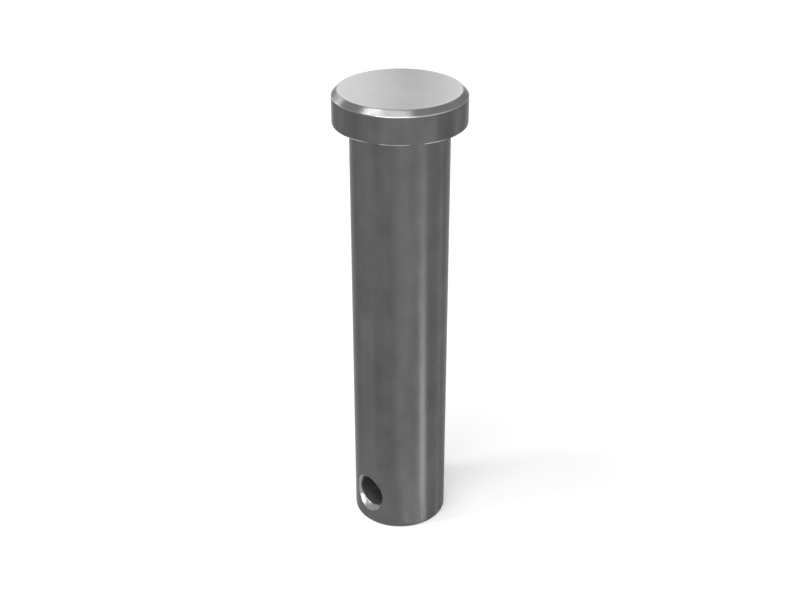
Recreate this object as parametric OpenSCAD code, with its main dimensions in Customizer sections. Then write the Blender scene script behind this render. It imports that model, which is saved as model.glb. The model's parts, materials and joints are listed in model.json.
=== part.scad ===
// Clevis pin with a flat, chamfered head and a cross hole for a split pin.
// One solid, turned from round bar: it stands on its tip at z = 0, with its
// axis on Z and the cross hole along Y. All sizes are in millimetres.

/* [Shank] */
// Diameter of the shank
shank_d = 12; // [8:0.5:14]
// Length of the shank, from the face of the tip to the underside of the head
shank_l = 55; // [20:1:120]

/* [Head] */
// Diameter of the head
head_d = 16; // [15:0.5:30]
// Thickness of the head
head_h = 4; // [1.5:0.25:8]
// Width of the 45 degree chamfer round the top of the head
head_chamfer = 0.65; // [0.3:0.05:1]

/* [Cross hole] */
// Diameter of the hole for the split pin
hole_d = 4; // [2:0.25:5]
// Distance from the face of the tip to the axis of the hole
hole_from_tip = 4.35; // [4:0.05:15]
// Width of the 45 degree countersink at each mouth of the hole
countersink = 0.7; // [0.2:0.05:1]

/* [Edges] */
// Radius that breaks the edge of the tip
tip_r = 0.3; // [0.1:0.05:0.5]
// Radius that breaks the edges of the head
edge_r = 0.15; // [0.05:0.05:0.3]
// Radius of the fillet between the shank and the underside of the head
neck_r = 0.4; // [0.1:0.05:1]

/* [Hidden] */
$fn = 96;
shank_r = shank_d / 2;
head_r = head_d / 2;
hole_r = hole_d / 2;
total_l = shank_l + head_h;
chamfer_z = total_l - head_chamfer;
// How far a rounded 45 degree corner starts before its sharp corner
corner_cut = edge_r * tan(22.5);
// Straight steps in each rounded edge
arc_steps = 6;
// How far a cut runs past the face that it opens
run_out = 1;

// Points along an arc of radius r round the centre c, between two angles
function arc(c, r, from, to) =
    [for (i = [0 : arc_steps]) let (a = from + (to - from) * i / arc_steps) c + r * [cos(a), sin(a)]];

// Half of the pin's long section, from its axis outwards
module section() {
    polygon(concat(
        [[0, 0]],
        arc([shank_r - tip_r, tip_r], tip_r, 270, 360),
        arc([shank_r + neck_r, shank_l - neck_r], neck_r, 180, 90),
        arc([head_r - edge_r, shank_l + edge_r], edge_r, 270, 360),
        arc([head_r - edge_r, chamfer_z - corner_cut], edge_r, 0, 45),
        arc([head_r - head_chamfer - corner_cut, total_l - edge_r], edge_r, 45, 90),
        [[0, total_l]]
    ));
}

// Countersunk mouth of the cross hole on the +Y side of the shank
module mouth() {
    depth = countersink + run_out;
    translate([0, shank_r + run_out, 0])
        rotate([90, 0, 0])
            cylinder(h = depth, r1 = hole_r + depth, r2 = hole_r);
}

// Cross hole along Y, with a countersunk mouth on each side
module cross_hole() {
    translate([0, 0, hole_from_tip]) {
        rotate([90, 0, 0])
            cylinder(h = shank_d + 2 * run_out, r = hole_r, center = true);
        mouth();
        mirror([0, 1, 0])
            mouth();
    }
}

module clevis_pin() {
    color("dimgray")
        difference() {
            rotate_extrude()
                section();
            cross_hole();
        }
}

clevis_pin();
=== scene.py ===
# %% [markdown]
# # A turned steel clevis pin
# This lesson dresses one part: a clevis pin, which is a plain round pin with a flat head and a cross
# hole for a split pin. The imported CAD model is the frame. It gives every size and place, and
# nothing in this file moves it. The lesson makes the pin again as a mesh with its own finishes, and
# sets it on a pale floor under soft light.

import json
import math

import bmesh
import bpy
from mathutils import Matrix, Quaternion, Vector


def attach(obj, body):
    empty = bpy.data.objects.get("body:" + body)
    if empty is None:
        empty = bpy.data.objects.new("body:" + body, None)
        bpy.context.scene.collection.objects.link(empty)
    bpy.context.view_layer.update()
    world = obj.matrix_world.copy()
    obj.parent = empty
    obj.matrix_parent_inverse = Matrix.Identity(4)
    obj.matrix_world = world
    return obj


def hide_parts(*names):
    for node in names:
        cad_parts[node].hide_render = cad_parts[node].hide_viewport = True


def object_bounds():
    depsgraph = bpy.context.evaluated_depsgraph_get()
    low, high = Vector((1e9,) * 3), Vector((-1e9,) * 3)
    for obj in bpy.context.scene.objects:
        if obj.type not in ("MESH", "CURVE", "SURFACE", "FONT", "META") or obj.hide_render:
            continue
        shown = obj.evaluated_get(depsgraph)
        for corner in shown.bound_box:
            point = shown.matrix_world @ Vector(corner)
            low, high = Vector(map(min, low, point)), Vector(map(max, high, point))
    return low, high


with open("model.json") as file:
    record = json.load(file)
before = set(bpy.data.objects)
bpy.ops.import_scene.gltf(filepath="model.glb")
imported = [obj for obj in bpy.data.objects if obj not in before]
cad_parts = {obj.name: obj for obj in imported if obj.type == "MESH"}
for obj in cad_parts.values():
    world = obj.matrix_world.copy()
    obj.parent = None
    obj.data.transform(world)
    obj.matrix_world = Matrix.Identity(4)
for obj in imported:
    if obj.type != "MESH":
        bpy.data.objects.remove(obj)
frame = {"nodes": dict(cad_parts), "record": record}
cad_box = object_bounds()
print("CAD box, m:", [tuple(round(v, 5) for v in corner) for corner in cad_box])

# %% [markdown]
# The pin's sizes come from the frame, so that the dressed pin always fits its CAD solid. The
# mounts in the record give the shank, the hole and the head's faces. The small roundings aren't
# mounts, so they are measured on the CAD mesh: where a flat face stops short of its side, the rest
# is the rounding.

# %% Sizes from the frame
MM = 0.001
SAME_HEIGHT = 0.001 * MM
NODE = "clevis_pin"
mounts = {mount["name"]: mount for mount in frame["record"]["mounts"]}


def reach(height):
    """Largest distance from the axis of the CAD mesh's points at one height."""
    points = (v.co for v in frame["nodes"][NODE].data.vertices)
    return max(p.xy.length for p in points if abs(p.z - height) < SAME_HEIGHT)


length = cad_box[1].z
head_r = cad_box[1].x
head_z = mounts["head_underside"]["pos_m"][2]
shank_r = mounts["shank"]["dims"]["r_mm"] * MM
hole_r = mounts["split_pin_hole"]["dims"]["r_mm"] * MM
hole_z = mounts["split_pin_hole"]["pos_m"][2]
bore_half = mounts["split_pin_hole"]["dims"]["length_mm"] * MM / 2
tip_r = shank_r - reach(0)
edge_r = head_r - reach(head_z)
neck_r = head_z - mounts["shank"]["pos_m"][2] - mounts["shank"]["dims"]["length_mm"] * MM / 2
chamfer = head_r - reach(length) - edge_r * math.tan(math.pi / 8)
countersink = shank_r - bore_half
print("shank %.2f, head %.2f, hole %.2f mm in radius" % (shank_r / MM, head_r / MM, hole_r / MM))
print("countersink %.2f, chamfer %.2f mm wide" % (countersink / MM, chamfer / MM))
print("roundings %.2f, %.2f, %.2f mm" % (tip_r / MM, edge_r / MM, neck_r / MM))

# %% [markdown]
# ## Node trees as Python
# Node trees, for shapes and for finishes, are written here as Python. A small class wraps one
# socket and gives it the usual operators, so that a sum on two sockets adds a Math node. The
# reflected forms are there too, so that 1 - t works when t is a socket.

# %% A socket that does sums
class Field:
    """One output socket of a node tree, with Python's operators on it."""

    def __init__(self, tree, socket):
        self.tree = tree
        self.socket = socket

    def math(self, operation, *values):
        return self.tree.add("ShaderNodeMath", {"operation": operation}, dict(enumerate((self, *values))))

    def __add__(self, other):
        return self.math("ADD", other)

    __radd__ = __add__

    def __mul__(self, other):
        return self.math("MULTIPLY", other)

    __rmul__ = __mul__

    def __sub__(self, other):
        return self.math("SUBTRACT", other)

    def __rsub__(self, other):
        return (self * -1) + other

    def __truediv__(self, other):
        return self.math("DIVIDE", other)

    def __rtruediv__(self, other):
        return self**-1 * other

    def __abs__(self):
        return self.math("ABSOLUTE")

    def __pow__(self, other):
        return self.math("POWER", other)

    def __lt__(self, other):
        return self.math("LESS_THAN", other)

    def __gt__(self, other):
        return self.math("GREATER_THAN", other)


# %% [markdown]
# A second class wraps a tree, and its one method adds any other node: first its settings, because
# they can change which sockets there are, and then what goes into its inputs. An input takes a
# plain value or the Field of another node.

# %% A tree that takes nodes
class Tree:
    """A node tree. add() makes one node and returns one of its outputs as a Field."""

    def __init__(self, tree):
        self.tree = tree

    def add(self, kind, settings=None, inputs=None, output=0):
        node = self.tree.nodes.new(kind)
        for name, value in (settings or {}).items():
            setattr(node, name, value)
        for name, value in (inputs or {}).items():
            self.plug(value, node.inputs[name])
        return Field(self, node.outputs[output])

    def plug(self, value, socket):
        if isinstance(value, Field):
            self.tree.links.new(value.socket, socket)
        else:
            socket.default_value = value


def also(field, name):
    """Another output of the node that a field comes from."""
    return Field(field.tree, field.socket.node.outputs[name])


def mix(a, b, t):
    return a + (b - a) * t


# %% [markdown]
# A geometry node group needs an interface: named inputs, whose kinds are floats, whole numbers or
# materials, and one mesh that comes out.

# %% Start and end a geometry node group
KINDS = {float: "NodeSocketFloat", int: "NodeSocketInt", bpy.types.Material: "NodeSocketMaterial"}


def start_group(name, inputs, takes_mesh=False):
    """A new geometry node group. Returns its Tree and a dictionary of its named inputs."""
    group = bpy.data.node_groups.new(name, "GeometryNodeTree")
    group.interface.new_socket("Mesh", in_out="OUTPUT", socket_type="NodeSocketGeometry")
    if takes_mesh:
        group.interface.new_socket("Mesh", in_out="INPUT", socket_type="NodeSocketGeometry")
    for label, kind in inputs.items():
        group.interface.new_socket(label, in_out="INPUT", socket_type=KINDS[kind])
    tree = Tree(group)
    source = group.nodes.new("NodeGroupInput")
    fields = {s.name: Field(tree, s) for s in source.outputs if s.name}
    return tree, fields


def end_group(tree, mesh):
    sink = tree.tree.nodes.new("NodeGroupOutput")
    tree.plug(mesh, sink.inputs[0])
    return tree.tree


# %% [markdown]
# Each face carries a number that says which tool made it: the turning tool, the chamfering tool,
# the facing tool, the countersink or the drill. The materials are handed out by that number at the
# very end of the pin's tree, once everything is one mesh.

# %% Number the finishes
FINISHES = ["Turned", "Chamfered", "Faced", "Countersunk", "Drilled"]
TURNED, CHAMFERED, FACED, COUNTERSUNK, DRILLED = range(len(FINISHES))
FINISH = "finish"


def mark(tree, mesh, number, selection=True):
    """Stores a finish's number on the faces."""
    return tree.add(
        "GeometryNodeStoreNamedAttribute",
        {"data_type": "INT", "domain": "FACE"},
        {"Geometry": mesh, "Name": FINISH, "Selection": selection, "Value": number},
    )


# %% [markdown]
# ## Turning
# A real pin is turned from bar. Each pass of the tool leaves one surface that is round about the
# axis: a cylinder, a cone, a flat or a rounding. The lesson does the same. One group bends a flat
# grid into a straight pass, and another bends it into a rounding. A spin of one outline would also
# work, but separate passes can each have their own finish and their own rows.

# %% Bend a grid round the axis
def bend_grid(tree, fields, radius, height):
    """A grid bent round the axis. radius and height take t, which runs from 0 to 1 along the pass."""
    grid = tree.add(
        "GeometryNodeMeshGrid",
        inputs={
            "Size X": 1.0,
            "Size Y": 1.0,
            "Vertices X": fields["Segments"] + 1,
            "Vertices Y": fields["Rows"] + 1,
        },
    )
    place = tree.add("ShaderNodeSeparateXYZ", inputs={0: tree.add("GeometryNodeInputPosition")})
    angle = (place + 0.5) * math.tau
    t = also(place, "Y") + 0.5
    r = radius(t)
    bent = tree.add(
        "ShaderNodeCombineXYZ",
        inputs={"X": r * angle.math("COSINE"), "Y": r * angle.math("SINE"), "Z": height(t)},
    )
    mesh = tree.add("GeometryNodeSetPosition", inputs={"Geometry": grid, "Position": bent})
    return mark(tree, mesh, fields["Finish"])


# %% [markdown]
# A lathe moves its tool in a straight line or in an arc, so two groups are enough for the whole
# pin. Both bend the same grid, and differ only in the radius and height along the pass.

# %% The two kinds of pass
PASS_COUNTS = {"Rows": int, "Finish": int, "Segments": int}


def straight_pass():
    """The group for a cylinder, a cone or a flat ring between two points of the section."""
    ends = ["From radius", "From height", "To radius", "To height"]
    tree, f = start_group("Straight pass", {**dict.fromkeys(ends, float), **PASS_COUNTS})
    mesh = bend_grid(
        tree,
        f,
        lambda t: mix(f["From radius"], f["To radius"], t),
        lambda t: mix(f["From height"], f["To height"], t),
    )
    return end_group(tree, mesh)


def round_pass():
    """The group for a rounding: part of a circle in the section, between two angles."""
    sizes = ["Centre radius", "Centre height", "Radius", "From angle", "To angle"]
    tree, f = start_group("Round pass", {**dict.fromkeys(sizes, float), **PASS_COUNTS})
    mesh = bend_grid(
        tree,
        f,
        lambda t: f["Centre radius"] + f["Radius"] * mix(f["From angle"], f["To angle"], t).math("COSINE"),
        lambda t: f["Centre height"] + f["Radius"] * mix(f["From angle"], f["To angle"], t).math("SINE"),
    )
    return end_group(tree, mesh)


STRAIGHT = straight_pass()
ROUND = round_pass()
print("pass groups:", STRAIGHT.name, "and", ROUND.name)

# %% [markdown]
# ## The cross hole
# A drilled hole could be cut with a Boolean, but that leaves thin, crooked faces round the mouth,
# and they show in a shiny surface. Here the grid makes way instead. A square of cells is taken out
# on each side of the shank, the cells round it slide until the square becomes the mouth's true
# outline, and its edge is then extruded down the countersink and along the bore.
#
# The countersink is a 45 degree cone, and the shank is a cylinder. Where they meet, at an angle a
# round the hole, the cone's radius is y - k, with k the depth of its point. The meeting point
# solves a quadratic in y, which mouth_point() writes out.

# %% The mouth's outline
def mouth_point(a, shank, bore, seat):
    """The mouth at angle a round the hole: its turn round the pin, and its height over the hole."""
    c2 = a.math("COSINE") ** 2
    k = seat - bore
    root = (k * k * c2 * c2 - (c2 + 1) * (k * k * c2 - shank * shank)).math("SQRT")
    cone = (k * c2 + root) / (c2 + 1) - k
    return (cone * a.math("COSINE") / shank).math("ARCSINE"), cone * a.math("SINE")


# %% [markdown]
# The window is the patch of the shank's grid round the hole. Its cells are numbered from the
# hole's axis, and a cell's ring is how many cells out it lies. The inner rings are deleted. The
# rings from there to the window's edge are moved: the innermost onto the mouth, the outermost not
# at all, and those between by their share. A ring's corners lie as far across as up, and TIE counts
# them as across.

# %% Make way for the mouth
TIE = 0.001
HALF_CELL = 0.5
HOLE_SIZES = ["Shank radius", "Hole radius", "Hole height", "Seat distance", "Window half height"]
HOLE_COUNTS = ["Segments", "Window cells", "Mouth cells"]


def open_window(tree, f, x, y, z):
    """Deletes the mouth's cells and slides the ones round them onto its outline."""
    shank, bore, height, seat, half = (f[name] for name in HOLE_SIZES)
    segments, cells, mouth = (f[name] for name in HOLE_COUNTS)
    turn_step = math.tau / segments
    row_step = half / cells
    u = x.math("ARCTAN2", abs(y)) / turn_step
    v = (z - height) / row_step
    ring = abs(u).math("MAXIMUM", abs(v))

    # The direction of a cell, in even steps round its square ring.
    sideways = abs(u) > abs(v) - TIE
    across = v / u * (math.pi / 4) + (u < 0) * math.pi
    along = math.pi / 2 - u / v * (math.pi / 4) + (v < 0) * math.pi
    mouth_turn, mouth_rise = mouth_point(mix(along, across, sideways), shank, bore, seat)
    t = (ring - mouth) / (cells - mouth)
    turn = mix(mouth_turn, u * cells / ring * turn_step, t)
    rise = mix(mouth_rise, v * cells / ring * row_step, t)
    side = y.math("SIGN")
    moved = tree.add(
        "ShaderNodeCombineXYZ",
        inputs={"X": shank * turn.math("SINE"), "Y": side * shank * turn.math("COSINE"), "Z": height + rise},
    )
    mesh = tree.add(
        "GeometryNodeDeleteGeometry",
        {"domain": "FACE"},
        {"Geometry": f["Mesh"], "Selection": ring < mouth},
    )
    return tree.add(
        "GeometryNodeSetPosition",
        inputs={"Geometry": mesh, "Selection": ring < cells - HALF_CELL, "Position": moved},
    )


# %% [markdown]
# The mouth is now the mesh's only open edge. Each extrusion takes the newest ring one step inwards:
# the first goes down the countersink to its seat, and the others follow the bore to the middle,
# where the two sides meet.

# %% The group that drills the hole
BORE_ROWS = 5
WHOLE_NUMBER = 0.5


def equals(number, value):
    """1 where a socket's whole number is the value."""
    return number.math("COMPARE", value, WHOLE_NUMBER)


def hole_group():
    inputs = {**dict.fromkeys(HOLE_SIZES, float), **dict.fromkeys(HOLE_COUNTS, int)}
    tree, f = start_group("Cross hole", inputs, takes_mesh=True)
    x = tree.add("ShaderNodeSeparateXYZ", inputs={0: tree.add("GeometryNodeInputPosition")})
    y, z = also(x, "Y"), also(x, "Z")
    mesh = open_window(tree, f, x, y, z)
    rim = equals(tree.add("GeometryNodeInputMeshEdgeNeighbors"), 1)
    bearing = (z - f["Hole height"]).math("ARCTAN2", x)
    for row in range(BORE_ROWS + 1):
        mesh = tree.add(
            "GeometryNodeExtrudeMesh",
            {"mode": "EDGES"},
            {"Mesh": mesh, "Selection": rim, "Offset Scale": 0.0},
        )
        rim, walls = also(mesh, "Top"), also(mesh, "Side")
        inner = tree.add(
            "ShaderNodeCombineXYZ",
            inputs={
                "X": f["Hole radius"] * bearing.math("COSINE"),
                "Y": y.math("SIGN") * f["Seat distance"] * (1 - row / BORE_ROWS),
                "Z": f["Hole height"] + f["Hole radius"] * bearing.math("SINE"),
            },
        )
        mesh = tree.add(
            "GeometryNodeSetPosition", inputs={"Geometry": mesh, "Selection": rim, "Position": inner}
        )
        mesh = mark(tree, mesh, DRILLED if row else COUNTERSUNK, walls)
    return end_group(tree, mesh)


HOLE = hole_group()
print("hole group:", len(HOLE.nodes), "nodes")

# %% [markdown]
# ## The whole pin
# The pin's own tree lists its passes in order, from the middle of the tip out, up the shank, out
# under the head, and over the head's edge to its middle. Every size is a named input, and so is
# each count of rows or cells that the hole depends on.

# %% The pin's inputs
WINDOW_HALF = 3.5 * MM
SIZES = {
    "Shank radius": shank_r,
    "Head radius": head_r,
    "Length": length,
    "Underside height": head_z,
    "Tip rounding": tip_r,
    "Neck rounding": neck_r,
    "Edge rounding": edge_r,
    "Chamfer": chamfer,
    "Hole radius": hole_r,
    "Hole height": hole_z,
    "Seat distance": bore_half,
    "Window half height": WINDOW_HALF,
}
COUNTS = {"Segments": 256, "Window cells": 24, "Mouth cells": 16}
MERGE = 0.001 * MM


# %% [markdown]
# Each pass is one line of numbers and sizes: where it starts, where it ends, how many rows of faces
# it takes, and its finish. A flat or a cylinder needs few rows, a rounding needs more. A rounding
# between two lines at 45 degrees starts its radius times the tangent of 22.5 degrees before their
# corner, which is what "back" gives.

# %% The passes, from the tip to the head
FLATS = ["Shank radius", "Head radius", "Length", "Underside height"]
BREAKS = ["Tip rounding", "Neck rounding", "Edge rounding", "Chamfer"]


def straight_cuts(f):
    """From radius and height, to radius and height, rows and finish of each straight pass."""
    shank, head, top, under, tip, neck, edge, cut = (f[name] for name in FLATS + BREAKS)
    low = f["Hole height"] - f["Window half height"]
    high = f["Hole height"] + f["Window half height"]
    back = edge * math.tan(math.pi / 8)
    slope = edge * math.sqrt(0.5)
    side_top, face_rim = top - cut - back, head - cut - back
    return [
        (0.0, 0.0, shank - tip, 0.0, 10, FACED),
        (shank, tip, shank, low, 4, TURNED),
        (shank, low, shank, high, f["Window cells"] * 2, TURNED),
        (shank, high, shank, under - neck, 60, TURNED),
        (shank + neck, under, head - edge, under, 3, FACED),
        (head, under + edge, head, side_top, 8, TURNED),
        (head - edge + slope, side_top + slope, face_rim + slope, top - edge + slope, 3, CHAMFERED),
        (face_rim, top, 0.0, top, 12, FACED),
    ]


def rounded_cuts(f):
    """Centre radius and height, radius, from and to angle, rows and finish of each rounding."""
    shank, head, top, under, tip, neck, edge, cut = (f[name] for name in FLATS + BREAKS)
    back = edge * math.tan(math.pi / 8)
    right, eighth = math.pi / 2, math.pi / 4
    return [
        (shank - tip, tip, tip, -right, 0.0, 8, TURNED),
        (shank + neck, under - neck, neck, math.pi, right, 8, TURNED),
        (head - edge, under + edge, edge, -right, 0.0, 8, TURNED),
        (head - edge, top - cut - back, edge, 0.0, eighth, 5, CHAMFERED),
        (head - cut - back, top - edge, edge, eighth, right, 5, CHAMFERED),
    ]


# %% [markdown]
# The passes meet along rings of points that share their places, so a merge by distance closes the
# seams and the poles. The hole follows, then a second merge joins the two halves of the bore. Last,
# each finish is given to the faces that carry its number.

# %% The pin's tree
def turn_passes(tree, f):
    """Every pass as one mesh, with its seams closed."""
    join = tree.tree.nodes.new("GeometryNodeJoinGeometry")
    for group, cuts in ((STRAIGHT, straight_cuts(f)), (ROUND, rounded_cuts(f))):
        names = [s.name for s in group.interface.items_tree if s.in_out == "INPUT"]
        for cut in cuts:
            inputs = dict(zip(names, (*cut, f["Segments"])))
            made = tree.add("GeometryNodeGroup", {"node_tree": group}, inputs)
            tree.tree.links.new(made.socket, join.inputs[0])
    return merge(tree, Field(tree, join.outputs[0]))


def merge(tree, mesh):
    return tree.add("GeometryNodeMergeByDistance", inputs={"Geometry": mesh, "Distance": MERGE})


def pin_tree():
    inputs = {**dict.fromkeys(SIZES, float), **dict.fromkeys(COUNTS, int)}
    tree, f = start_group("Clevis pin", {**inputs, **dict.fromkeys(FINISHES, bpy.types.Material)})
    sizes = {name: f[name] for name in HOLE_SIZES + HOLE_COUNTS}
    mesh = tree.add("GeometryNodeGroup", {"node_tree": HOLE}, {"Mesh": turn_passes(tree, f), **sizes})
    mesh = tree.add("GeometryNodeSetShadeSmooth", inputs={"Geometry": merge(tree, mesh)})
    mesh = tree.add("GeometryNodeRealizeInstances", inputs={"Geometry": mesh})
    number = tree.add("GeometryNodeInputNamedAttribute", {"data_type": "INT"}, {"Name": FINISH})
    for index, name in enumerate(FINISHES):
        chosen = equals(number, index) if index else True
        mesh = tree.add(
            "GeometryNodeSetMaterial",
            inputs={"Geometry": mesh, "Selection": chosen, "Material": f[name]},
        )
    return end_group(tree, mesh)


PIN = pin_tree()
print("pin group:", len(PIN.nodes), "nodes,", len(SIZES), "sizes")

# %% [markdown]
# ## Finishes
# The pin is bare steel, and each tool leaves its own finish on it. A turning tool leaves fine
# grooves that run round the pin. Light that falls on them spreads along the pin's axis and hardly
# at all round it, so a lamp's reflection is drawn out into a long streak. In the shader that is
# anisotropy. It needs two widths of blur, along and across the pin, and grain() turns them into
# the shader's roughness and anisotropy. The shader squares its roughness to get a width, so the
# roughness is the fourth root of the two widths' product.

# %% From blur to roughness
GROOVE_TURN = 0.25
STRONGEST_GRAIN = 0.9
FOURTH_ROOT = 1 / 4


def grain(long_blur, short_blur):
    """The Principled shader's roughness and anisotropy for a long and a short width of blur."""
    anisotropy = (1 - short_blur / long_blur) / STRONGEST_GRAIN
    return (long_blur * short_blur) ** FOURTH_ROOT, anisotropy


def start_steel(name, anisotropy, edge_tint):
    """A bare steel material. What is the same all over is set on the shader's own sockets."""
    material = bpy.data.materials.new(name)
    material.use_nodes = True
    shader = material.node_tree.nodes["Principled BSDF"]
    shader.inputs["Metallic"].default_value = 1.0
    shader.inputs["Anisotropic"].default_value = anisotropy
    shader.inputs["Anisotropic Rotation"].default_value = GROOVE_TURN
    shader.inputs["Specular Tint"].default_value = (edge_tint, edge_tint, edge_tint, 1)
    return material, Tree(material.node_tree), shader


# %% [markdown]
# Every finish is varied by a few patterns. A soft cloud stands for oil, handling and small waves in
# the surface. Fine grooves are noise in one dimension, along the way that the tool moved: up the
# pin for turning, outwards for facing. Both read Object coordinates, which are metres in the pin's
# own frame, so a pattern's size is a real size. A ramp picks out part of a pattern.

# %% Patterns on the steel
NOISE_MIDDLE, NOISE_SPAN = 0.5, 3.0
GROOVE_DETAIL = 3.0


def place_on_pin(tree):
    """The point, its y, its height z and its distance r from the axis."""
    point = Field(tree, tree.add("ShaderNodeTexCoord").socket.node.outputs["Object"])
    x = tree.add("ShaderNodeSeparateXYZ", inputs={0: point})
    y, z = also(x, "Y"), also(x, "Z")
    r = (x * x + y * y).math("SQRT")
    return point, y, z, r


def cloud(tree, point, size, detail=2.0, seed=0.0):
    """Soft noise, from about -1 to 1, with clouds of one size in metres."""
    noise = tree.add(
        "ShaderNodeTexNoise",
        {"noise_dimensions": "4D"},
        {"Vector": point, "W": seed, "Scale": 1 / size, "Detail": detail},
    )
    return (noise - NOISE_MIDDLE) * NOISE_SPAN


def grooves(tree, along, pitch):
    """Noise in one dimension, from about -1 to 1, for grooves of one pitch in metres."""
    noise = tree.add(
        "ShaderNodeTexNoise",
        {"noise_dimensions": "1D"},
        {"W": along, "Scale": 1 / pitch, "Detail": GROOVE_DETAIL},
    )
    return (noise - NOISE_MIDDLE) * NOISE_SPAN


def drawn_out(tree, point, times):
    """Coordinates in which a pattern is longer along the pin than round it."""
    return tree.add("ShaderNodeVectorMath", {"operation": "MULTIPLY"}, {0: point, 1: (1, 1, 1 / times)})


def ramp(tree, value, start, end):
    """0 below start and 1 above end, with a soft step between. End may be the lower one."""
    return tree.add(
        "ShaderNodeMapRange",
        {"interpolation_type": "SMOOTHSTEP"},
        {"Value": value, "From Min": start, "From Max": end},
    )


# %% [markdown]
# The patterns are added up, each with its weight. Round a middle of one half, the sum picks a grey
# between the finish's darkest and lightest. Round the finish's roughness, a much smaller sum makes
# that uneven too, and the shader's bump nodes take the same patterns as heights. Colours go through
# a Mix node, because a Math node gives one number.

# %% Greys and relief
def layered(*layers, middle=0.5):
    """Patterns added up round a middle, each with its weight."""
    total = middle
    for pattern, weight in layers:
        total = pattern * weight + total
    return total


def blend(tree, first, second, t):
    """A colour between two colours."""
    return tree.add("ShaderNodeMix", {"data_type": "RGBA"}, {0: t, 6: first, 7: second}, output=2)


def plain_grey(level):
    return (level, level, level, 1)


def grey(tree, t, dark, light):
    """A grey between two levels."""
    return blend(tree, plain_grey(dark), plain_grey(light), t)


def relief(tree, height, depth, base=None):
    """A bump of one depth in metres. A second bump takes the first as its base."""
    inputs = {"Height": height, "Distance": depth}
    if base:
        inputs["Normal"] = base
    return tree.add("ShaderNodeBump", inputs=inputs)


# %% [markdown]
# Handling polishes the edges first, to a thin bright line, and the bright line that rounded edges
# show in light is painted there as well. The function below puts a brighter grey, part wear and part
# painted highlight, on the edges that go round the pin, and it falls off within a small reach. The mask
# comes from the finish that calls it, because a cloud can break one edge's line up while another stays
# whole.

# %% Rubbed edges, with painted edge highlights
def near_edge(r, z, edge_radius, edge_height):
    """Distance to one edge that goes round the pin."""
    return ((r - edge_radius) ** 2 + (z - edge_height) ** 2).math("SQRT")


def rubbed_and_highlit(tree, base, nearest, wear_and_highlight, rubbed_and_highlight_grey, reach):
    """The base colour, with a brighter grey, part wear and part painted highlight, on parts of the nearest
    edge.
    """
    t = ramp(tree, nearest, reach, reach / 2) * wear_and_highlight
    return blend(tree, base, plain_grey(rubbed_and_highlight_grey), t)


# %% [markdown]
# The turned finish covers the shank and the side of the head. Its grooves run round the pin, a
# tenth of a millimetre apart. Faint bands that run its whole length, and shorter streaks, are painted
# reflections: lighter and darker stripes that stand for uneven surroundings mirrored in the shank.
# Clouds and a few bright specks lie over them. The shank is a shade lighter towards the tip.
# Chatter of the tool makes the long reflections waver a little.

# %% Turned finish
# The seed of the painted reflection bands, which puts their lighter and darker stripes in place.
REFLECTION_BAND_SEED = 3.5
# The seed and ramp ends below set where the edges' bright line shows: part wear, part painted highlight.
RUB_AND_HIGHLIGHT_SEED = 9.8
PLAIN_EDGE, FULLY_RUBBED_AND_HIGHLIT = -0.2, 0.55
SPECKS_START, SPECKS_FULL = 0.72, 0.95
LIGHTER_BELOW, LIGHTEST_BELOW = 18 * MM, 3 * MM


def turned_finish():
    roughness, anisotropy = grain(long_blur=0.14, short_blur=0.045)
    steel, tree, shader = start_steel("turned_steel", anisotropy, edge_tint=0.62)
    point, _, z, r = place_on_pin(tree)
    clouds = cloud(tree, drawn_out(tree, point, times=1.6), size=2.4 * MM, detail=3.0)
    # Streaks and bands are painted reflections: lighter and darker stripes along the shank's grey.
    painted_reflection_streaks = cloud(tree, drawn_out(tree, point, times=8), size=1.6 * MM, detail=1.0)
    painted_reflection_bands = cloud(tree, drawn_out(tree, point, times=60), size=2.4 * MM, detail=1.0, seed=REFLECTION_BAND_SEED)
    chatter = cloud(tree, drawn_out(tree, point, times=0.4), size=1.0 * MM)
    spots = cloud(tree, drawn_out(tree, point, times=2), size=0.45 * MM)
    specks = ramp(tree, spots, SPECKS_START, SPECKS_FULL)
    # The shank's grey rises a shade towards the tip: from 18 mm up, to its full step at 3 mm.
    tip_lighter = ramp(tree, z, LIGHTER_BELOW, LIGHTEST_BELOW)
    fine = grooves(tree, z, pitch=0.09 * MM)
    patterns = [(clouds, 0.45), (painted_reflection_streaks, 0.25), (painted_reflection_bands, 0.75), (fine, 0.1), (specks, 0.6), (tip_lighter, 0.35)]
    # The side's grey is far darker than the chamfer's and the top's, though all are one steel: painted shade
    # on the side, painted light on the head.
    base = grey(tree, layered(*patterns), dark=0.074, light=0.111)
    nearest = near_edge(r, z, shank_r, 0).math("MINIMUM", near_edge(r, z, head_r, head_z))
    # The tip's rim and the head's lower edge get a bright line here: part wear, part painted highlight.
    wear_and_highlight = ramp(tree, cloud(tree, point, size=2.2 * MM, detail=1.0, seed=RUB_AND_HIGHLIGHT_SEED), PLAIN_EDGE, FULLY_RUBBED_AND_HIGHLIT)
    base = rubbed_and_highlit(tree, base, nearest, wear_and_highlight, rubbed_and_highlight_grey=0.55, reach=0.16 * MM)
    tree.plug(base, shader.inputs["Base Color"])
    tree.plug(layered((clouds, 0.012), (fine, 0.01), middle=roughness), shader.inputs["Roughness"])
    waves = relief(tree, clouds, depth=0.003 * MM)
    rings = relief(tree, chatter, depth=0.0013 * MM, base=waves)
    tree.plug(relief(tree, fine, depth=0.0004 * MM, base=rings), shader.inputs["Normal"])
    return steel


# %% [markdown]
# The chamfer is one short cut with a fresh edge. It is smoother than the turned side, so it takes
# fewer patterns and a smaller relief, and its lighter grey is partly painted light from above. Its
# lower edge, which hands and holes rub most, has a bright line that is part wear and part painted
# highlight. That line comes and goes slowly, so its cloud is large and has no detail.

# %% Chamfered finish
EDGE_SEED = 14.7
SLOW_START, SLOW_END = -0.5, 0.5


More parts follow.
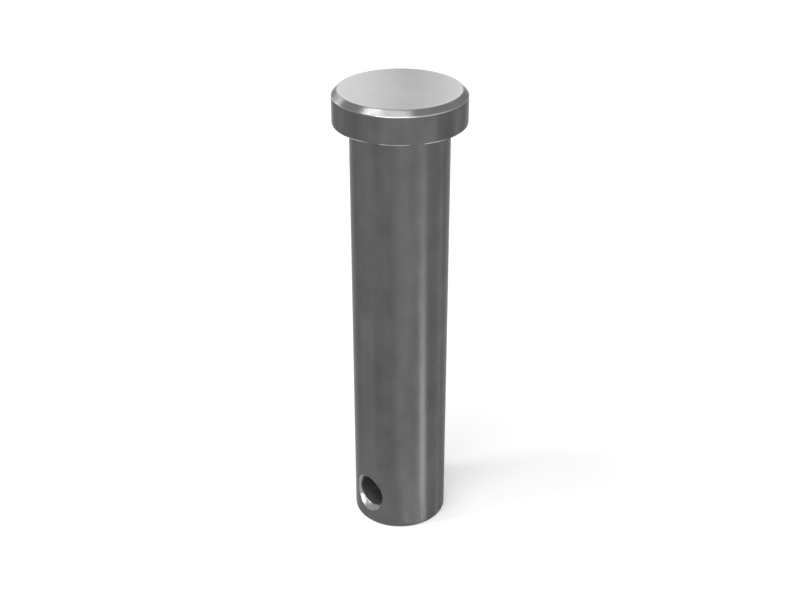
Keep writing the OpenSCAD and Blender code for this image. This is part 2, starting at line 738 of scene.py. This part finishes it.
def chamfered_finish():
    roughness, anisotropy = grain(long_blur=0.12, short_blur=0.045)
    steel, tree, shader = start_steel("chamfered_steel", anisotropy, edge_tint=0.6)
    point, _, z, r = place_on_pin(tree)
    clouds = cloud(tree, point, size=1.8 * MM, detail=1.5)
    fine = grooves(tree, z, pitch=0.05 * MM)
    # A lighter grey than the turned side's, partly painted light that falls on the chamfer from above.
    base = grey(tree, layered((clouds, 0.35), (fine, 0.15)), dark=0.150, light=0.186)
    nearest = near_edge(r, z, head_r, length - chamfer)
    # The chamfer's lower edge gets a bright line here: part wear, part painted highlight.
    slow = cloud(tree, point, size=7 * MM, detail=0.0, seed=EDGE_SEED)
    wear_and_highlight = ramp(tree, slow, SLOW_START, SLOW_END)
    base = rubbed_and_highlit(tree, base, nearest, wear_and_highlight, rubbed_and_highlight_grey=0.42, reach=0.12 * MM)
    tree.plug(base, shader.inputs["Base Color"])
    tree.plug(layered((clouds, 0.012), middle=roughness), shader.inputs["Roughness"])
    waves = relief(tree, clouds, depth=0.0006 * MM)
    tree.plug(relief(tree, fine, depth=0.0002 * MM, base=waves), shader.inputs["Normal"])
    return steel


# %% [markdown]
# A facing cut runs from the rim to the middle, so its grooves are rings. It is taken slowly and
# leaves a smooth surface: the top of the head, its underside and the tip. Its grey, the lightest of
# the pin, is partly painted light that falls on the head's top from above. Its blur is the same both
# ways, so it has no anisotropy.

# %% Faced finish
def faced_finish():
    roughness, anisotropy = grain(long_blur=0.07, short_blur=0.07)
    steel, tree, shader = start_steel("faced_steel", anisotropy, edge_tint=0.6)
    point, _, _, r = place_on_pin(tree)
    clouds = cloud(tree, point, size=3.0 * MM, detail=3.0)
    fine = grooves(tree, r, pitch=0.07 * MM)
    # The lightest grey of the pin, partly painted light that falls on the head's top from above.
    base = grey(tree, layered((clouds, 0.4), (fine, 0.1)), dark=0.256, light=0.307)
    tree.plug(base, shader.inputs["Base Color"])
    tree.plug(layered((clouds, 0.015), (fine, 0.01), middle=roughness), shader.inputs["Roughness"])
    waves = relief(tree, clouds, depth=0.0015 * MM)
    tree.plug(relief(tree, fine, depth=0.0002 * MM, base=waves), shader.inputs["Normal"])
    return steel


# %% [markdown]
# The countersink is cut fast and smooth, so it mirrors sharply, but its tool shook a little. It is
# brighter where it is seen edge on, so its tint is left at white.

# %% Countersunk finish
def countersunk_finish():
    roughness, anisotropy = grain(long_blur=0.06, short_blur=0.06)
    steel, tree, shader = start_steel("countersunk_steel", anisotropy, edge_tint=1.0)
    point, *_ = place_on_pin(tree)
    clouds = cloud(tree, point, size=0.7 * MM)
    base = grey(tree, layered((clouds, 0.35)), dark=0.200, light=0.290)
    tree.plug(base, shader.inputs["Base Color"])
    tree.plug(layered((clouds, 0.02), middle=roughness), shader.inputs["Roughness"])
    tree.plug(relief(tree, clouds, depth=0.0016 * MM), shader.inputs["Normal"])
    return steel


# %% [markdown]
# A drill leaves a rough wall with rings in it. The wall is nearly matt, so the light that comes in
# at the mouth spreads down the bore. The rings follow y, because the bore runs that way.

# %% Drilled finish
def drilled_finish():
    roughness, anisotropy = grain(long_blur=0.3, short_blur=0.3)
    steel, tree, shader = start_steel("drilled_steel", anisotropy, edge_tint=1.0)
    point, y, *_ = place_on_pin(tree)
    clouds = cloud(tree, point, size=0.6 * MM, detail=3.0)
    fine = grooves(tree, abs(y), pitch=0.12 * MM)
    base = grey(tree, layered((clouds, 0.4), (fine, 0.3)), dark=0.12, light=0.23)
    tree.plug(base, shader.inputs["Base Color"])
    tree.plug(layered((clouds, 0.03), (fine, 0.03), middle=roughness), shader.inputs["Roughness"])
    tree.plug(relief(tree, fine, depth=0.003 * MM), shader.inputs["Normal"])
    return steel


# %% [markdown]
# Each finish is made once. The pin's tree takes them as its last five inputs.

# %% Make the finishes
steels = (turned_finish(), chamfered_finish(), faced_finish(), countersunk_finish(), drilled_finish())
finishes = dict(zip(FINISHES, steels))
print("finishes:", [material.name for material in steels])

# %% [markdown]
# ## Making the pin
# The tree runs as a modifier on an empty mesh. Each input is set by its identifier, because the
# name is only its label. Two more modifiers follow: a bevel breaks the sharp edges of the hole,
# as a deburring tool would, and weighted normals keep the flats flat up to their roundings. The
# result is copied into a plain mesh, and the object with the modifiers is thrown away. The grids
# brought an empty material slot with them, which goes too.

# %% Run the tree
HOLE_EDGE = 0.06 * MM
HOLE_EDGE_STEPS = 3
SHARP = math.radians(30)

lathe_object = bpy.data.objects.new("lathe", bpy.data.meshes.new("lathe"))
bpy.context.scene.collection.objects.link(lathe_object)
lathe = lathe_object.modifiers.new("Lathe", "NODES")
lathe.node_group = PIN
identifiers = {s.name: s.identifier for s in PIN.interface.items_tree if s.in_out == "INPUT"}
for name, value in {**SIZES, **COUNTS, **finishes}.items():
    lathe[identifiers[name]] = value

deburr = lathe_object.modifiers.new("Deburr", "BEVEL")
deburr.limit_method = "ANGLE"
deburr.angle_limit = SHARP
deburr.width = HOLE_EDGE
deburr.segments = HOLE_EDGE_STEPS
lathe_object.modifiers.new("Weighted normals", "WEIGHTED_NORMAL")

bpy.context.view_layer.update()
turned = lathe_object.evaluated_get(bpy.context.evaluated_depsgraph_get())
mesh = bpy.data.meshes.new_from_object(turned)
mesh.materials.pop(index=0)
bpy.data.objects.remove(lathe_object)
pin = bpy.data.objects.new("turned_pin", mesh)
bpy.context.scene.collection.objects.link(pin)
print("pin:", len(mesh.vertices), "points,", len(mesh.polygons), "faces,", [m.name for m in mesh.materials])

# %% [markdown]
# A closed mesh has exactly two faces on each edge, and its volume is the steel's. Both are quick
# tests of the whole tree: a seam that didn't merge or a wall that faces inwards shows at once.

# %% Test the mesh
bm = bmesh.new()
bm.from_mesh(mesh)
print("open edges:", sum(len(edge.link_faces) != 2 for edge in bm.edges))
print("volume: %.1f mm3" % (bm.calc_volume(signed=True) / MM**3))
print("triangles:", sum(len(face.verts) - 2 for face in bm.faces))
bm.free()

# %% [markdown]
# The pin is one rigid piece, so it rides on the frame's only body. It stands for the CAD solid,
# which is hidden.

# %% Put it on the frame
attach(pin, "root")
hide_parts(NODE)
print(pin.name, "stands for", NODE)

# %% [markdown]
# ## The camera
# The camera looks down on the pin from its front right, so that the head's top, the shank and the
# cross hole's mouth all show. The middle of its view and its distance are shares of the pin's
# length, so that the pin fills the view at any size.

# %% Camera
VIEW_TURN = math.radians(45)
VIEW_ELEVATION = math.radians(28.45)
VIEW_CENTRE = 0.5299
VIEW_DISTANCE = 2.649
LENS = 55.9
NEAREST, FARTHEST = 0.01, 10


def bearing(turn, elevation):
    """A direction from the pin: turn is counted to the right from the camera's own bearing."""
    a = VIEW_TURN + turn
    return Vector(
        (math.sin(a) * math.cos(elevation), -math.cos(a) * math.cos(elevation), math.sin(elevation))
    )


camera = bpy.data.objects.new("camera", bpy.data.cameras.new("camera"))
camera.data.lens = LENS
camera.data.clip_start = NEAREST
camera.data.clip_end = FARTHEST
view = bearing(0, VIEW_ELEVATION)
camera.location = Vector((0, 0, VIEW_CENTRE * length)) + view * VIEW_DISTANCE * length
camera.rotation_mode = "QUATERNION"
camera.rotation_quaternion = (-view).to_track_quat("-Z", "Y")
bpy.context.scene.collection.objects.link(camera)
bpy.context.scene.camera = camera
print("camera:", tuple(round(v, 4) for v in camera.location))

# %% [markdown]
# ## The floor
# The floor is a wide pale disc. It is matt, and a little of its own light lifts it to white where
# the camera looks at it. Metal and glass must show that same white floor, so the lift is also there
# for glossy and transmission rays. The lamps light only the middle of the floor, so the lift grows
# outwards, to plain white. The pin's soft shadow stays, because near the pin the lift is small and
# the rest of the floor's light is real.

# %% What only eyes and mirrors see
def seen(tree):
    """1 for a ray from the camera or off a glossy or clear surface, and 0 for diffuse light."""
    path = tree.add("ShaderNodeLightPath")
    rays = path + also(path, "Is Glossy Ray") + also(path, "Is Transmission Ray")
    return rays.math("MINIMUM", 1.0)


# %% [markdown]
# From below, the floor would hide the pin. A Mix shader makes the back of the disc clear, so that
# the tip can be seen from there.

# %% Floor's material
FLOOR_GREY = 0.8
FLOOR_ROUGHNESS = 0.9
FLOOR_LIFT = 0.35
LIFT_STARTS, LIFT_ENDS = 0.25, 1.2

pale = bpy.data.materials.new("pale_floor")
pale.use_nodes = True
tree = Tree(pale.node_tree)
shader = pale.node_tree.nodes["Principled BSDF"]
shader.inputs["Base Color"].default_value = plain_grey(FLOOR_GREY)
shader.inputs["Roughness"].default_value = FLOOR_ROUGHNESS
shader.inputs["Emission Strength"].default_value = 1.0
*_, r = place_on_pin(tree)
lift = mix(FLOOR_LIFT, 1.0, ramp(tree, r, LIFT_STARTS, LIFT_ENDS))
glow = grey(tree, seen(tree) * lift, dark=0.0, light=1.0)
tree.plug(glow, shader.inputs["Emission Color"])
below = Field(tree, tree.add("ShaderNodeNewGeometry").socket.node.outputs["Backfacing"])
clear = tree.add("ShaderNodeBsdfTransparent")
surface = tree.add("ShaderNodeMixShader", inputs={0: below, 1: Field(tree, shader.outputs[0]), 2: clear})
tree.plug(surface, pale.node_tree.nodes["Material Output"].inputs["Surface"])
print("floor's grey:", FLOOR_GREY, "with a lift of", FLOOR_LIFT)

# %% [markdown]
# The disc lies a hair below the pin, so that the two don't share a plane.

# %% Floor
FLOOR_RADIUS = 3.0
FLOOR_SIDES = 96
FLOOR_GAP = 0.02 * MM

floor = bpy.data.objects.new("floor", bpy.data.meshes.new("floor"))
bm = bmesh.new()
bmesh.ops.create_circle(bm, cap_ends=True, segments=FLOOR_SIDES, radius=FLOOR_RADIUS)
bm.to_mesh(floor.data)
bm.free()
floor.data.materials.append(pale)
floor.location.z = -FLOOR_GAP
bpy.context.scene.collection.objects.link(floor)
print("floor:", FLOOR_RADIUS, "m in radius")

# %% [markdown]
# ## Light
# The world is an even white, but only a fifth of it counts as diffuse light. Soft panels do the
# rest.

# %% World
WORLD_LIGHT = 0.2

world = bpy.data.worlds.new("world")
bpy.context.scene.world = world
world.use_nodes = True
tree = Tree(world.node_tree)
sky = grey(tree, seen(tree), dark=WORLD_LIGHT, light=1.0)
tree.plug(sky, world.node_tree.nodes["Background"].inputs["Color"])
print("world: white, of which", WORLD_LIGHT, "is diffuse light")

# %% [markdown]
# Polished steel has no colour of its own to light: it shows what stands round it, so each panel is
# placed for the reflection it makes. A panel's radiance is how bright it looks, where white is 1,
# and its power is pi times radiance times area.

# %% One light panel
def panel(name, place, turn, width, height, radiance):
    """A rectangular lamp. Its radiance is even, and it lights only what is in front of it."""
    lamp = bpy.data.lights.new(name, "AREA")
    lamp.shape = "RECTANGLE"
    lamp.size, lamp.size_y = width, height
    lamp.energy = math.pi * radiance * width * height
    rig = bpy.data.objects.new(name, lamp)
    rig.location = place
    rig.rotation_mode = "QUATERNION"
    rig.rotation_quaternion = turn
    bpy.context.scene.collection.objects.link(rig)


# %% [markdown]
# Where a panel has to stand follows from where its reflection has to show. A ray from the camera
# meets the head there and is thrown back by the law of reflection, and the panel waits where it
# goes. A spot on the head is named by its turn round the pin, counted from the camera's side, and
# by how far its surface tilts up: half way on the chamfer, a quarter on the rounded edge below it,
# and all the way on the flat top.

# %% Where a spot on the head throws a ray
ON_EDGE, HIGH_ON_EDGE, ON_CHAMFER, ON_TOP = 22.5, 27.5, 45, 90
HEAD_TOP = Vector((0, 0, length))


def mirrored(turn, tilt):
    """The direction in which a spot on the head throws back a ray from the camera."""
    normal = bearing(math.radians(turn), math.radians(tilt))
    out = 0 if tilt == ON_TOP else head_r
    spot = HEAD_TOP + bearing(math.radians(turn), 0) * out
    return (spot - camera.location).normalized().reflect(normal)


# %% [markdown]
# Four sizes of panel do for all seven, and all stand equally far off and face the head. Some are
# swung aside from where the ray goes, so that their light stands beside the spot and not on it. A
# roll tips a panel in its own plane.

# %% One panel for one spot
STRIP, UPRIGHT_STRIP = (0.9, 0.2), (0.15, 0.6)
SOFTBOX, SMALL_BOX = (0.8, 0.35), (0.2, 0.35)
PANEL_DISTANCE = 1.2


def head_panel(name, size, radiance, turn=0, tilt=ON_CHAMFER, swing=0, roll=0):
    """A panel that shows at a spot of the head, or beside it by the angle of its swing."""
    towards = mirrored(turn, tilt)
    towards.rotate(Quaternion((0, 0, 1), math.radians(swing)))
    facing = Quaternion(towards, math.radians(roll)) @ (-towards).to_track_quat("-Z", "Y")
    panel(name, HEAD_TOP + towards * PANEL_DISTANCE, facing, *size, radiance)
    print(name, "stands at", tuple(round(v, 2) for v in towards * PANEL_DISTANCE))


# %% [markdown]
# Three panels light the chamfer: a dim one its left end, a bright one the glint left of its middle,
# and the overhead strip its middle. Two in front put a bright line on the rounded edge below it,
# and they light the countersink as well. Two behind the pin show in the head's top, one to each
# side of the middle, which leaves a darker stretch between them.

# %% Panels round the pin
head_panel("low_left_box", SMALL_BOX, radiance=4, turn=-63)
head_panel("high_left_strip", UPRIGHT_STRIP, radiance=13, turn=-25)
head_panel("overhead_strip", STRIP, radiance=7, turn=-5)
head_panel("front_left_strip", STRIP, radiance=10, turn=-15, tilt=ON_EDGE, roll=-30)
head_panel("front_softbox", SOFTBOX, radiance=4, turn=2, tilt=HIGH_ON_EDGE)
head_panel("back_left_softbox", SOFTBOX, radiance=2.5, tilt=ON_TOP, swing=20)
head_panel("back_right_box", SMALL_BOX, radiance=2.5, tilt=ON_TOP, swing=-7)

# %% [markdown]
# The camera looks down on the pin, so the shank shows it the floor. What lies on the floor at a
# turn of 2a from the camera's bearing is mirrored at a turn of a round the shank. Three rows of
# lamps lie there, facing up. A narrow row makes the long bright streak down the right of the shank,
# a wide one the glow beside it, and the last a thin gleam near the right edge. Rays that a round
# mirror reflects seem to come from half way between its surface and its axis, so each lamp's width
# is measured from there: then a streak keeps its width all the way down. Each row has a radiance
# near the pin, one most of the way out, and one at its far end.

# %% Rows of lamps on the floor
ROW_STARTS_AT = 0.3 * MM
ROW_ENDS_AT = 180 * MM
ROW_HEIGHT = 0.05 * MM
ROW_MIDDLE = 0.75
FACING_UP = Vector((0, 0, 1)).to_track_quat("-Z", "Y")


def row_radiance(share, near, middle, far):
    """A row's radiance at a share of the way out. It reaches its middle value at ROW_MIDDLE."""
    if share < ROW_MIDDLE:
        return mix(near, middle, share / ROW_MIDDLE)
    return mix(middle, far, (share - ROW_MIDDLE) / (1 - ROW_MIDDLE))


def floor_row(name, count, near_turn, far_turn, spread, radiances):
    """Lamps that face up, each farther out and larger than the one before by the same growth."""
    growth = (ROW_ENDS_AT / ROW_STARTS_AT) ** (1 / count)
    for number in range(count):
        share = number / (count - 1)
        near_end = ROW_STARTS_AT * growth**number
        far_end = near_end * growth
        distance = (near_end + far_end) / 2
        turn = math.radians(mix(near_turn, far_turn, share))
        outwards = bearing(2 * turn, 0)
        place = bearing(turn, 0) * shank_r + outwards * distance + Vector((0, 0, ROW_HEIGHT))
        facing = Vector((1, 0, 0)).rotation_difference(outwards) @ FACING_UP
        width = spread * (distance + shank_r / 2)
        radiance = row_radiance(share, *radiances)
        panel("%s_%d" % (name, number), place, facing, far_end - near_end, width, radiance)
    print("%s: %d lamps" % (name, count))


floor_row("streak", 9, near_turn=32.6, far_turn=28, spread=0.25, radiances=(0.2, 2.4, 0.42))
floor_row("glow", 6, near_turn=18, far_turn=13, spread=0.95, radiances=(0.7, 0.36, 0.3))
floor_row("gleam", 6, near_turn=56, far_turn=56, spread=0.18, radiances=(0.35, 0.5, 0.6))

# %% [markdown]
# ## The last lines
# Standard colour leaves the finishes as they are written.

# %% Finish
bpy.context.scene.view_settings.view_transform = "Standard"
